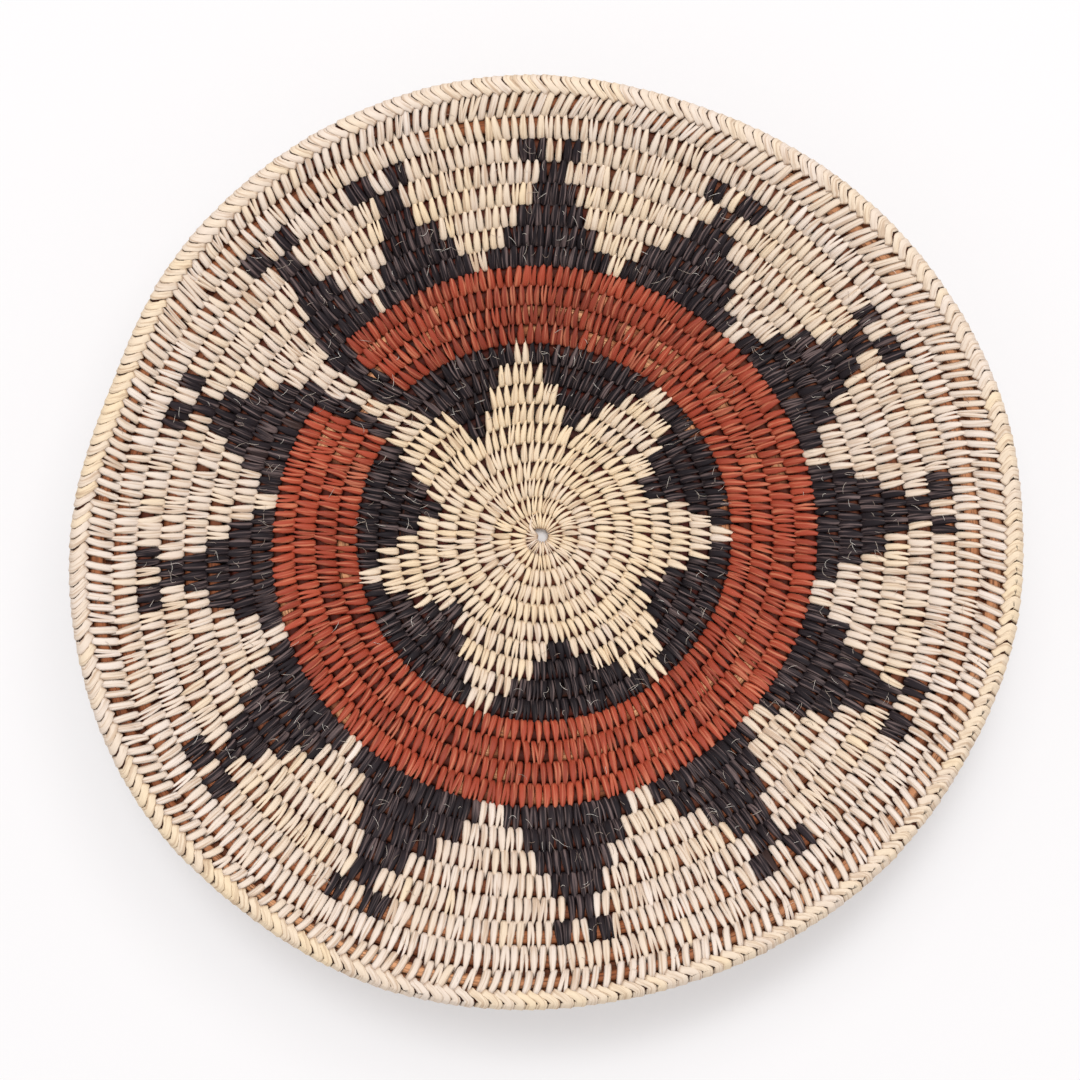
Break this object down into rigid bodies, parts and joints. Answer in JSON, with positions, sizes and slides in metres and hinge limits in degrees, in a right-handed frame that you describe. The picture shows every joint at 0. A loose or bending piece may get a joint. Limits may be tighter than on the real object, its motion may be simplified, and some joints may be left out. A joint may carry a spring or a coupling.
{
  "type": "coiled ceremonial basket",
  "caption": "Shallow round coiled ceremonial basket: natural star centre, rust-red band crossed by a pale pathway, ring of dark stepped mountains, braided rim.",
  "frame": {"origin": "on the rest plane, under the middle of the outline; the small hole the coil starts from lies 2.5 mm to -X and 1.8 mm to +Y of it", "axes": "+Z up out of the open bowl; the pathway crosses the bands towards 143 degrees from +X, so -X is left and +Y is up in the picture"},
  "size_m": [0.3664, 0.3582, 0.0625],
  "materials": {
    "natural_splint": "bare scraped splint, dull sheen",
    "dark_splint": "splint dyed purple-black, matte",
    "red_splint": "splint dyed rust red, matte",
    "foundation_rod": "peeled rod, smooth"
  },
  "bodies": {
    "root": {"star_sewing": "natural_splint", "star_gap_1": "dark_splint", "star_gap_2": "dark_splint", "star_gap_3": "dark_splint", "star_gap_4": "dark_splint", "star_gap_5": "dark_splint", "star_gap_6": "dark_splint", "star_gap_7": "dark_splint", "red_band": "red_splint", "pathway_border_1": "dark_splint", "pathway_border_2": "dark_splint", "pathway_strip": "natural_splint", "mountain_01": "dark_splint", "mountain_02": "dark_splint", "mountain_03": "dark_splint", "mountain_04": "dark_splint", "mountain_05": "dark_splint", "mountain_06": "dark_splint", "mountain_07": "dark_splint", "mountain_08": "dark_splint", "mountain_09": "dark_splint", "mountain_10": "dark_splint", "mountain_11": "dark_splint", "mountain_12": "dark_splint", "mountain_13": "dark_splint", "valley_01": "natural_splint", "valley_02": "natural_splint", "valley_03": "natural_splint", "valley_04": "natural_splint", "valley_05": "natural_splint", "valley_06": "natural_splint", "valley_07": "natural_splint", "valley_08": "natural_splint", "valley_09": "natural_splint", "valley_10": "natural_splint", "valley_11": "natural_splint", "valley_12": "natural_splint", "valley_13": "natural_splint", "plain_round": "natural_splint", "last_round": "natural_splint", "foundation_coil": "foundation_rod", "braided_rim": "natural_splint"}
  },
  "joints": []
}
